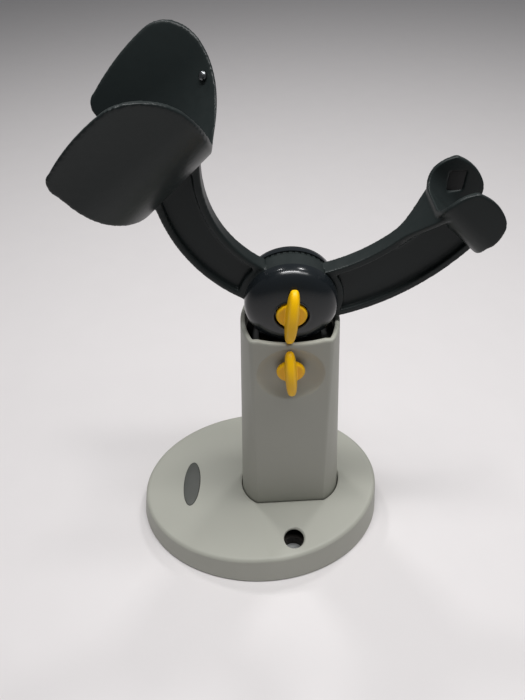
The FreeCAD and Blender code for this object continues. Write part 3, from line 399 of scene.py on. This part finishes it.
def quarter(half, flat, inset):
    """A quarter of the outline, from the side's tip to the middle of the flat, evenly divided."""
    half, flat, depth = half - inset, flat - inset * 0.5, COLUMN_DEPTH - inset
    hollow = (half ** 2 - flat ** 2 - depth ** 2) / (2 * (half - flat))
    bow = half - hollow
    corner = max(COLUMN_CORNER - inset, 0.8)
    inner = hollow + math.sqrt((bow - corner) ** 2 - (depth - corner) ** 2)
    slant = math.atan2(depth - corner, inner - hollow)
    points = [(hollow + bow * math.cos(slant * i / 18), bow * math.sin(slant * i / 18))
              for i in range(18)]
    points += [(inner + corner * math.cos(slant + (math.pi / 2 - slant) * i / 10),
                depth - corner + corner * math.sin(slant + (math.pi / 2 - slant) * i / 10))
               for i in range(10)]
    points += [(inner * (1 - i / 36), depth) for i in range(36)]
    return points


def column_outline(share, inset):
    """The whole outline: share is 0 at the foot and 1 at the head."""
    foot, head = quarter(*COLUMN_FOOT[:2], inset), quarter(*COLUMN_HEAD[:2], inset)
    first = [(a[0] + (b[0] - a[0]) * share, a[1] + (b[1] - a[1]) * share) for a, b in zip(foot, head)]
    middle = (0.0, first[-1][1])
    right = first + [middle]
    left = [(-x, y) for x, y in first[::-1]]
    upper = right + left
    lower = [(x, -y) for x, y in upper[-2:0:-1]]
    shift = COLUMN_X + COLUMN_FOOT[2] * (1 - share)
    return [(x + shift, y) for x, y in upper + lower]


def share_at(height):
    return (height - COLUMN_LOW) / (COLUMN_TOP - COLUMN_LOW)


OUTLINE_COUNT = len(column_outline(0, 0))
print("points round the column:", OUTLINE_COUNT)

# %% [markdown]
# ## Base shell
# One moulding: a wedge-shaped oval lid with a draughted wall. Its top is a slope that rises
# towards the handle side, and in front of the column it breaks along a soft crease and falls
# a little faster to the rim. A stack of loops goes from the column's opening out over the
# rounded rim, down the wall, and back inside, so that the crease is real geometry.

# %% Base shell
BASE_HALF_X, BASE_HALF_Y = 100.0, 72.0
BASE_DRAFT, BASE_RISE, BASE_SKIN, BASE_EDGE = 3.8, 30.7, 3.0, 3.5
SHELL_LIFT = 1.6
LEAN = math.tan(math.radians(4.23))
OPENING_GAP = 0.7
CREASE_FROM, CREASE_TO = (-4.0, -21.3), (8.5, -70.0)
CREASE_FALL = 2.0


def base_top(x, y):
    """Height of the top face, with the crease in front of the column."""
    run_x, run_y = CREASE_TO[0] - CREASE_FROM[0], CREASE_TO[1] - CREASE_FROM[1]
    length = math.hypot(run_x, run_y)
    off = ((x - CREASE_FROM[0]) * -run_y + (y - CREASE_FROM[1]) * run_x) / length
    forward = min(max((-y - COLUMN_DEPTH) / 48, 0.0), 1.0)
    fall = CREASE_FALL * (1 - math.exp(-max(off, 0.0) / 9)) * forward
    return BASE_RISE + LEAN * x - fall


def under_top(x):
    """Height of the lid's underside."""
    return BASE_RISE + LEAN * x - BASE_SKIN


def matched_turns(outline):
    """For each point of the opening, the turn of the rim's point that it is joined to."""
    middle = COLUMN_X + COLUMN_FOOT[2]
    return [math.atan2((y / COLUMN_DEPTH) * 0.95, (x - middle) / COLUMN_FOOT[0]) for x, y in outline]


def make_base_shell():
    opening_share = share_at(BASE_RISE)
    opening = column_outline(opening_share, -OPENING_GAP)
    wide = column_outline(opening_share, -OPENING_GAP - 0.8)
    turns = matched_turns(opening)

    def ring(grow, height):
        points = [((BASE_HALF_X + grow) * math.cos(t), (BASE_HALF_Y + grow) * math.sin(t)) for t in turns]
        return [(x, y, height(x, y)) for x, y in points]

    def between(share):
        mixed = [(a[0] + (b[0] - a[0]) * share, a[1] + (b[1] - a[1]) * share)
                 for a, b in zip(wide, [(x, y) for x, y, _ in ring(-BASE_EDGE, base_top)])]
        return [(x, y, base_top(x, y)) for x, y in mixed]

    loops = [[(x, y, under_top(x)) for x, y in opening],
             [(x, y, base_top(x, y) - 0.8) for x, y in opening],
             [(x, y, base_top(x, y) - 0.25)
              for x, y in column_outline(opening_share, -OPENING_GAP - 0.25)]]
    loops += [between(i / 40) for i in range(41)]
    for step in range(1, 9):
        turn = math.radians(90 - 90 * step / 8)
        out = BASE_EDGE * math.cos(turn) - BASE_EDGE
        drop = BASE_EDGE * (1 - math.sin(turn))
        loops.append(ring(out, lambda x, y: base_top(x, y) - drop))
    top_ring = loops[-1]
    foot_ring = ring(BASE_DRAFT, lambda x, y: SHELL_LIFT)
    for step in range(1, 13):
        share = step / 12
        loops.append([tuple(a[k] + (b[k] - a[k]) * share for k in range(3))
                      for a, b in zip(top_ring, foot_ring)])
    inner_foot = ring(BASE_DRAFT - BASE_SKIN, lambda x, y: SHELL_LIFT)
    inner_top = ring(-BASE_SKIN, lambda x, y: under_top(x))
    loops += [inner_foot, inner_top]
    return skin("base_lid", loops, wrap=True, sharp=40)


def bench_sink(side):
    """The tool for one bench screw hole: a bore, a counterbore and a soft lip."""
    x, y = 28.0, 53.5 * side
    top = base_top(x, y)
    profile = [(4.2, -40), (4.2, top - 3.5), (7.6, top - 3.5), (7.9, top - 3.2), (8.0, top - 1.0),
               (8.4, top - 0.2), (9.2, top + 0.35), (9.2, top + 10)]
    return turned(f"bench_sink_{side}", (x, y, 0), (0, 0, 1), profile)


def badge_pocket():
    slope = math.radians(4.23)
    loops = []
    for lift in (-0.7, 6):
        loop = []
        for index in range(96):
            t = 2 * math.pi * index / 96
            u, v = 7.35 * math.cos(t), 21.15 * math.sin(t)
            loop.append((-59 + u * math.cos(slope) - lift * math.sin(slope), v,
                         BASE_RISE - 59 * LEAN + u * math.sin(slope) + lift * math.cos(slope)))
        loops.append(loop)
    return skin("badge_pocket", loops)


base_lid = cut_away(make_base_shell(), bench_sink(-1), bench_sink(1), badge_pocket())
dress(base_lid, "base_shell")

# %% [markdown]
# ## Column
# The column is a tapered sleeve with a finger dish in front, round the height knob. Its rim
# dips at the middle and is rolled over. Loops again: up the outside, over the rim, and down the
# inside. The dish is pressed into the loops. It is as wide and as deep as in CAD, but with a
# steeper wall near its edge.

# %% Column
SADDLE_LOW, SADDLE_RADIUS, RIM_TOP = 220.3, 62.0, 223.5
DISH_X, DISH_Z, DISH_DEPTH, DISH_HEIGHT = 21.3, 23.2, 4.6, 193.4
DISH_STEEP = 2.2                 # above 1, the bowl is flat in the middle and steep at its edge
COLUMN_SKIN = 3.2
PLAIN_TOP = 160.0                # below this the wall has no dish and needs few loops
RIM_ROLL = 1.3                   # how far down the outside the rolled rim begins
DISH_BACK = 2.0                  # wall left behind the dish


def rim_height(x):
    dip = SADDLE_LOW + SADDLE_RADIUS - math.sqrt(SADDLE_RADIUS ** 2 - (x - COLUMN_X) ** 2)
    return min(RIM_TOP, dip)


def dished(x, y, z, extra):
    """Pushes a point of the front wall back to the dish."""
    reach = ((x - COLUMN_X) / DISH_X) ** 2 + ((z - DISH_HEIGHT) / DISH_Z) ** 2
    if y > 0 or reach >= 1:
        return (x, y, z)
    bowl = -COLUMN_DEPTH + DISH_DEPTH * (1 - reach ** DISH_STEEP) + extra
    return (x, max(y, bowl), z)


def make_column():
    def loop(inset, height_of, extra=0.0):
        foot = column_outline(0, inset)
        head = column_outline(1, inset)
        points = []
        for a, b in zip(foot, head):
            z = height_of(b[0])
            share = share_at(z)
            points.append(dished(a[0] + (b[0] - a[0]) * share, a[1] + (b[1] - a[1]) * share, z, extra))
        return points

    def between(top, share):
        return top + (PLAIN_TOP - top) * share

    loops = [loop(0, lambda x, z=COLUMN_LOW + (PLAIN_TOP - COLUMN_LOW) * i / 26: z) for i in range(26)]
    steps = 62
    for i in range(steps + 1):
        loops.append(loop(0, lambda x, s=i / steps: between(rim_height(x) - RIM_ROLL, 1 - s)))
    for inset, drop in ((0.2, 0.6), (0.65, 0.15), (1.3, 0.0), (1.9, 0.0), (2.6, 0.15), (3.0, 0.6)):
        loops.append(loop(inset, lambda x, d=drop: rim_height(x) - d))
    for i in range(30):
        loops.append(loop(COLUMN_SKIN, lambda x, s=i / 29: between(rim_height(x) - RIM_ROLL, s),
                          extra=DISH_BACK))
    loops.append(loop(COLUMN_SKIN, lambda x: 12.0))
    return skin("column_sleeve", loops, wrap=True, sharp=50)


dress(make_column(), "column_shell")

# %% [markdown]
# ## Hub
# The hub reads as one glossy dome. It is turned about the tilt axis from a swollen oval, with
# the knob's recess in front. The yoke's cheeks are trimmed, so that each cover closes over its
# cheek as far as the ring between them. A smooth band goes round that ring.

# %% Hub
HUB_Z = 241.0
HUB_CENTRE = (COLUMN_X, 0, HUB_Z)
COVER_SCREW_TURNS = (30, 150, 270)   # degrees round the rear cover
DOME_RADIUS, DOME_SWELL = 26.9, 2.8
FRONT_DOME = (-6.05, -18.9)      # where the dome starts and where it would end, along Y
BACK_DOME = (5.9, 17.7)
CHEEK_RADIUS = 25.7              # the covers' skirts close over the yoke's cheeks
FRONT_JOINT, BACK_JOINT = -11.0, 10.7


def dome_profile(dome, hole):
    """Profile points of one cover from its skirt's edge to the rim of a hole in its middle."""
    points = []
    for step in range(61):
        turn = math.radians(90 * step / 60)
        y = dome[0] + (dome[1] - dome[0]) * math.sin(turn) ** (2 / DOME_SWELL)
        share = (y - dome[0]) / (dome[1] - dome[0])
        radius = DOME_RADIUS * (1 - share ** DOME_SWELL) ** (1 / DOME_SWELL)
        if radius > hole + 0.8:
            points.append((radius, y))
    return points


def skirted(dome, joint, hole):
    """A cover's profile from its bore, over the cheek, to the outside of the dome."""
    inner = CHEEK_RADIUS + 0.1
    return [(8.0, joint), (inner, joint), (inner, dome[0])] + dome_profile(dome, hole)


def trim_tool(joint, start):
    """A ring that takes away the cheek outside the cover's skirt."""
    ring = [(CHEEK_RADIUS, joint), (CHEEK_RADIUS, start), (32, start), (32, joint)]
    return turned("trim", HUB_CENTRE, (0, 1, 0), ring, count=180, wrap=True)


def front_cover():
    profile = skirted(FRONT_DOME, FRONT_JOINT, 9.9)
    face = profile[-1][1]
    profile += [(10.6, face - 0.25), (10.1, face - 0.1), (9.9, face + 0.3), (9.9, -15.35), (3.4, -15.35)]
    return turned("front_dome", HUB_CENTRE, (0, 1, 0), profile, count=180)


def back_cover():
    profile = skirted(BACK_DOME, BACK_JOINT, 7.0)
    profile += [(6.6, 17.2), (6.2, 16.6), (5.9, 15.7), (3.4, 15.7)]
    return turned("back_dome", HUB_CENTRE, (0, 1, 0), profile, count=180)


def ring_band():
    """The smooth outside of the hub's ring, over the joint between the two arms."""
    band = [(25.0, -5.9), (26.1, -5.9), (26.45, -5.6), (26.45, 3.7), (26.1, 4.0), (25.0, 4.0)]
    band = turned("ring_band", HUB_CENTRE, (0, 1, 0), band, count=180, wrap=True)
    band.data.materials.append(FINISHES["charcoal_plastic"])
    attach(band, "cradle")


dress(front_cover(), "front_cover")
back = back_cover()
sinks = [turned(f"sink_{t}", (COLUMN_X + 18 * math.cos(math.radians(t)), 15.25,
                              HUB_Z + 18 * math.sin(math.radians(t))), (0, 1, 0),
                [(2.7, -1.9), (2.7, 6)], count=40) for t in COVER_SCREW_TURNS]
dress(cut_away(back, *sinks), "back_cover")
mast = cut_away(copy_of("mast"), trim_tool(FRONT_JOINT, FRONT_DOME[0]), trim_tool(BACK_JOINT, BACK_DOME[0]))
dress(mast, "mast")
ring_band()

# %% [markdown]
# ## Inner parts
# The small turned and square parts are exact in CAD already. A copy of each is merged, so that
# light runs smoothly over its curved faces, and gets its finish.

# %% Inner parts
for node in ("mast_stop", "grip_strip", "tilt_bush", "tilt_nut",
             "mast_guide", "height_nut", "height_shoe", "tilt_washer", "tilt_screw", "height_screw",
             "cup_stud", "badge", "base_plate", "base_weight", "magnet_cover"):
    dress(copy_of(node), node)

# %% [markdown]
# ## Arms and cups
# Each arm, its cup and half of the hub's ring are one moulding, with edges rounded all over and
# soft joins. The sharp CAD form is melted: remeshed into small even faces, then relaxed. The
# handle cup also gets a flare, where the arm's top widens into the cup.

# %% Arms
HAND_ARC = (COLUMN_X - 5.3, HUB_Z + 106.0, 90.0)      # centre X and Z, inner radius
HAND_SLOPE = -42.2


def hand_flare():
    """Loops across the handle arm's top, widening and curling up into the cup's end."""
    slope = math.radians(HAND_SLOPE)
    cup_up = Vector((-math.sin(slope), 0, math.cos(slope)))
    centre = Vector((HAND_ARC[0], 0, HAND_ARC[1]))
    loops = []
    for step in range(19):
        share = step / 18
        turn = math.radians(-50 + 16.6 * share)
        outward = Vector((math.cos(turn), 0, math.sin(turn)))
        wide = 4.9 + 13.1 * share ** 2.0
        over, under = [], []
        for index in range(21):
            y = wide * (index / 10 - 1)
            beyond = max(abs(y) - 7.6, 0.0)
            lift = 12 - math.sqrt(144 - beyond ** 2)
            point = centre + outward * HAND_ARC[2] + cup_up * lift + Vector((0, y, 0))
            over.append(point)
            under.append(point + outward * (2.4 + 4.6 * (1 - (y / wide) ** 2)))
        loops.append(over + under[::-1])
    return skin("flare", loops)


head_moulding = melted("head_arm_moulding", [copy_of("head_arm")], 0.72, 5)
dress(head_moulding, "head_arm")
hand_moulding = melted("handle_arm_moulding", [copy_of("handle_arm"), hand_flare()], 0.55, 7)
dress(hand_moulding, "handle_arm")

# %% [markdown]
# ## Wing knobs
# A round flange with a half-oval wing, moulded in yellow with generous radii. The wing is a
# stack of half ovals that shrink towards its two flat sides.

# %% Wing knobs
WING_HALF, WING_DEEP, WING_THICK = 19.3, 9.5, 7.2
FLANGE_RADIUS, FLANGE_THICK = 8.9, 2.8


def wing(back, z, turn):
    spin = Matrix.Rotation(math.radians(turn), 4, "Y")
    face = back - FLANGE_THICK
    loops = []
    for step in range(25):
        across = math.sin(math.radians(-89 + 178 * step / 24))
        shrink = (1 - abs(across) ** 3.2) ** 0.32
        loop = []
        for index in range(49):
            t = math.pi * index / 48
            loop.append((across * WING_THICK / 2, -WING_DEEP * shrink * math.sin(t),
                         WING_HALF * shrink * math.cos(t)))
        loop += [(across * WING_THICK / 2, 0.7, WING_HALF * shrink * (k / 8 - 1)) for k in range(17)]
        loops.append([Vector((COLUMN_X, face, z)) + spin @ Vector(point) for point in loop])
    return skin("wing", loops)


def knob(node, z, turn):
    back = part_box(node)[1][1] / MM
    rim = [(FLANGE_RADIUS - 0.3, 0), (FLANGE_RADIUS, 0.4), (FLANGE_RADIUS, 1.6),
           (FLANGE_RADIUS - 0.35, 2.3), (FLANGE_RADIUS - 1.2, FLANGE_THICK), (3.0, FLANGE_THICK)]
    flange = turned("flange", (COLUMN_X, back, z), (0, -1, 0), rim)
    dress(melted(node + "_moulding", [flange, wing(back, z, turn)], 0.4, 4), node)


knob("tilt_knob", HUB_Z, 4.0)
knob("height_knob", 196.4, -3.0)

# %% [markdown]
# ## Repeated parts
# Screws, feet and the teeth of the detent ring repeat, so Geometry Nodes set one shape on many
# points. One tree sets a part on given spots; the other sets it round a circle, turned to face
# outwards.

# %% Geometry Nodes trees
def new_tree(name, inputs):
    tree = bpy.data.node_groups.new(name, "GeometryNodeTree")
    tree.interface.new_socket("Geometry", in_out="INPUT", socket_type="NodeSocketGeometry")
    for label, kind in inputs:
        tree.interface.new_socket(label, in_out="INPUT", socket_type=kind)
    tree.interface.new_socket("Geometry", in_out="OUTPUT", socket_type="NodeSocketGeometry")
    return tree, tree.nodes.new("NodeGroupInput"), tree.nodes.new("NodeGroupOutput")


def end_tree(tree, given, made, geometry):
    """Realize Instances and Set Material, at the end of every tree."""
    real = tree.nodes.new("GeometryNodeRealizeInstances")
    paint = tree.nodes.new("GeometryNodeSetMaterial")
    tree.links.new(geometry, real.inputs[0])
    tree.links.new(real.outputs[0], paint.inputs["Geometry"])
    tree.links.new(given.outputs["Material"], paint.inputs["Material"])
    tree.links.new(paint.outputs[0], made.inputs["Geometry"])


def make_spot_tree():
    tree, given, made = new_tree("Part on each spot", [("Part", "NodeSocketObject"),
                                                       ("Material", "NodeSocketMaterial")])
    part = tree.nodes.new("GeometryNodeObjectInfo")
    tree.links.new(given.outputs["Part"], part.inputs["Object"])
    copies = tree.nodes.new("GeometryNodeInstanceOnPoints")
    tree.links.new(given.outputs["Geometry"], copies.inputs["Points"])
    tree.links.new(part.outputs["Geometry"], copies.inputs["Instance"])
    end_tree(tree, given, made, copies.outputs[0])
    return tree


def make_round_tree():
    tree, given, made = new_tree("Part round a circle", [
        ("Part", "NodeSocketObject"), ("Count", "NodeSocketInt"), ("Radius", FLOAT),
        ("Centre", VECTOR), ("Material", "NodeSocketMaterial")])
    part = tree.nodes.new("GeometryNodeObjectInfo")
    tree.links.new(given.outputs["Part"], part.inputs["Object"])
    circle = tree.nodes.new("GeometryNodeMeshCircle")
    tree.links.new(given.outputs["Count"], circle.inputs["Vertices"])
    tree.links.new(given.outputs["Radius"], circle.inputs["Radius"])
    place = tree.nodes.new("GeometryNodeInputPosition")
    outward = tree.nodes.new("FunctionNodeAlignRotationToVector")
    outward.axis = "X"
    tree.links.new(place.outputs[0], outward.inputs["Vector"])
    copies = tree.nodes.new("GeometryNodeInstanceOnPoints")
    tree.links.new(circle.outputs[0], copies.inputs["Points"])
    tree.links.new(part.outputs["Geometry"], copies.inputs["Instance"])
    tree.links.new(outward.outputs[0], copies.inputs["Rotation"])
    stand = tree.nodes.new("GeometryNodeTransform")
    stand.inputs["Rotation"].default_value = (math.radians(90), 0, 0)
    tree.links.new(copies.outputs[0], stand.inputs["Geometry"])
    tree.links.new(given.outputs["Centre"], stand.inputs["Translation"])
    end_tree(tree, given, made, stand.outputs[0])
    return tree


def run_tree(name, tree, mesh, values):
    """Runs a tree on a mesh and keeps the result as a plain mesh."""
    piece = link(name, mesh)
    modifier = piece.modifiers.new("repeat", "NODES")
    modifier.node_group = tree
    for item in tree.interface.items_tree:
        if item.in_out == "INPUT" and item.name in values:
            modifier[item.identifier] = values[item.name]
    part = values["Part"]
    applied(piece)
    bpy.data.objects.remove(part)
    return piece


SPOT_TREE = make_spot_tree()
ROUND_TREE = make_round_tree()

# %% [markdown]
# A pan-head screw is a turned shape with a cross recess: in the recess's loops the radius
# swells four times round, which draws the cross.

# %% Screws and feet
def screw(name, axis, head, thread, length, tall):
    """A pan-head screw whose head's top lies at the origin, driven along the axis."""
    count = 48
    axis = Vector(axis)
    side = axis.orthogonal().normalized()
    other = axis.cross(side)

    def loop(radius, along, cross=0.0):
        points = []
        for index in range(count):
            t = 2 * math.pi * index / count
            r = radius * (1 + cross * math.cos(4 * t))
            points.append((side * math.cos(t) + other * math.sin(t)) * r + axis * along)
        return points

    loops = [loop(head * 0.12, tall * 0.75, 0.5), loop(head * 0.3, tall * 0.6, 0.5),
             loop(head * 0.36, tall * 0.05, 0.45), loop(head * 0.62, 0), loop(head * 0.86, tall * 0.14),
             loop(head, tall * 0.45), loop(head, tall), loop(thread, tall)]
    turns = int((length - tall) / 1.1)
    for index in range(turns):
        along = tall + 1.1 * index
        loops += [loop(thread * 0.82, along + 0.3), loop(thread, along + 0.75)]
    loops.append(loop(thread * 0.3, length))
    return skin(name, loops)


def spots_mesh(name, spots):
    mesh = bpy.data.meshes.new(name)
    mesh.from_pydata([tuple(c * MM for c in spot) for spot in spots], [], [])
    return mesh


def repeat_on_spots(node, part, spots):
    piece = run_tree(node + "_set", SPOT_TREE, spots_mesh(node, spots),
                     {"Part": part, "Material": FINISHES[slot_of_node[node]]})
    dress(piece, node)


column_spots = [(COLUMN_X + 2.6 + 26 * side, y, 1.3) for side in (1, -1) for y in (11, -11)]
plate_spots = [(x, y, 1.3) for x, y in ((-80, 0), (-30, 55), (-30, -55), (84, 24), (84, -24))]
for node, spots in (("column_screws", column_spots), ("plate_screws", plate_spots)):
    repeat_on_spots(node, screw(node + "_one", (0, 0, 1), 3.4, 1.5, 10.6, 1.7), spots)

cover_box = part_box("cover_screws")
cover_back = cover_box[1][1] / MM
cover_spots = [(COLUMN_X + 18 * math.cos(math.radians(t)), cover_back,
                HUB_Z + 18 * math.sin(math.radians(t))) for t in COVER_SCREW_TURNS]
repeat_on_spots("cover_screws", screw("cover_one", (0, -1, 0), 2.6, 1.3, 7.5, 1.6), cover_spots)

foot_profile = [(5.2, 0.9), (6.2, 0.15), (7.0, 0.0), (8.2, 0.0), (8.8, 0.35), (9.0, 1.2), (6.0, 1.2),
                (6.0, 2.2), (2.0, 2.2)]
foot = turned("foot_one", (0, 0, 0), (0, 0, 1), foot_profile)
feet = run_tree("feet", SPOT_TREE, spots_mesh("feet", [(x, y, 0) for x in (68, -68) for y in (40, -40)]),
                {"Part": foot, "Material": FINISHES["foot_rubber"]})
pad = turned("pad", (0, 0, 0), (0, 0, 1), [(5.6, 0.0), (6.0, 0.35), (6.0, 2.2)])
dress(joined("base_feet_set", feet, pad), "base_feet")

# %% [markdown]
# The detent ring sits behind the cradle's ring. Its teeth click as the cradle tilts: a plain
# ring carries forty-eight blocks round its edge.

# %% Detent ring
DETENT_TEETH = 48
RING_BORE, RING_OUT = 17.3, 25.5
detent_low, detent_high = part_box("detent_ring")
detent_y = (detent_low[1] / MM, detent_high[1] / MM)
ring_deep = detent_y[1] - detent_y[0]
ring_profile = [(RING_BORE, 0), (RING_OUT, 0), (RING_OUT, ring_deep), (RING_BORE, ring_deep)]


def ring_loops(profile):
    return [[(COLUMN_X + r * math.cos(t), detent_y[0] + a, HUB_Z + r * math.sin(t))
             for t in (2 * math.pi * i / 144 for i in range(144))] for r, a in profile]


ring = skin("detent_band", ring_loops(ring_profile), wrap=True)
half_deep = ring_deep / 2
tooth = skin("tooth", [[(x, -0.95, -half_deep), (x, 0.95, -half_deep), (x, 0.95, half_deep),
                        (x, -0.95, half_deep)] for x in (-0.6, 0.35, 0.6)])
teeth = run_tree("detent_teeth", ROUND_TREE, spots_mesh("teeth", []), {
    "Part": tooth, "Count": DETENT_TEETH, "Radius": RING_OUT * MM,
    "Centre": (COLUMN_X * MM, sum(detent_y) / 2 * MM, HUB_Z * MM),
    "Material": FINISHES[slot_of_node["detent_ring"]]})
dress(joined("detent_set", ring, teeth), "detent_ring")

# %% [markdown]
# ## Floor and light
# A plain pale counter, a broad soft light above, and a dim even sky. A bar and two small lights
# overhead draw the bright marks on the glossy hub.

# %% Floor
floor_mesh = bpy.data.meshes.new("floor")
floor_mesh.from_pydata([(-4, -4, 0), (4, -4, 0), (4, 4, 0), (-4, 4, 0)], [], [(0, 1, 2, 3)])
floor = link("floor", floor_mesh)
floor.data.materials.append(finish("Pale counter", srgb(226, 222, 222), 0.6, scale=300.0, cloud=0.03))

# %% Lights
def lamp(name, place, target, watts, wide, deep, colour=(1, 1, 1)):
    data = bpy.data.lights.new(name, "AREA")
    data.shape = "RECTANGLE"
    data.size, data.size_y = wide, deep
    data.energy = watts
    data.color = colour
    item = bpy.data.objects.new(name, data)
    item.location = place
    item.rotation_euler = (Vector(target) - Vector(place)).to_track_quat("-Z", "Y").to_euler()
    bpy.context.scene.collection.objects.link(item)


lamp("ceiling", (0.25, -0.17, 1.5), (0.25, -0.17, 0.1), 9.5, 1.3, 0.36)
lamp("bar", (0.024, -0.03, 1.35), (0.024, 0, 0.24), 7.0, 0.75, 0.10)
for side in (-1, 1):
    lamp(f"spot_{side}", (0.024 + 0.46 * side, 0.58, 1.35), (0.02, 0, 0.24), 3.0, 0.15, 0.15)

world = bpy.data.worlds.new("room")
world.use_nodes = True
sky = world.node_tree.nodes["Background"]
sky.inputs["Color"].default_value = (0.93, 0.96, 1.0, 1)
sky.inputs["Strength"].default_value = 0.12
bpy.context.scene.world = world
bpy.context.scene.view_settings.view_transform = "Standard"
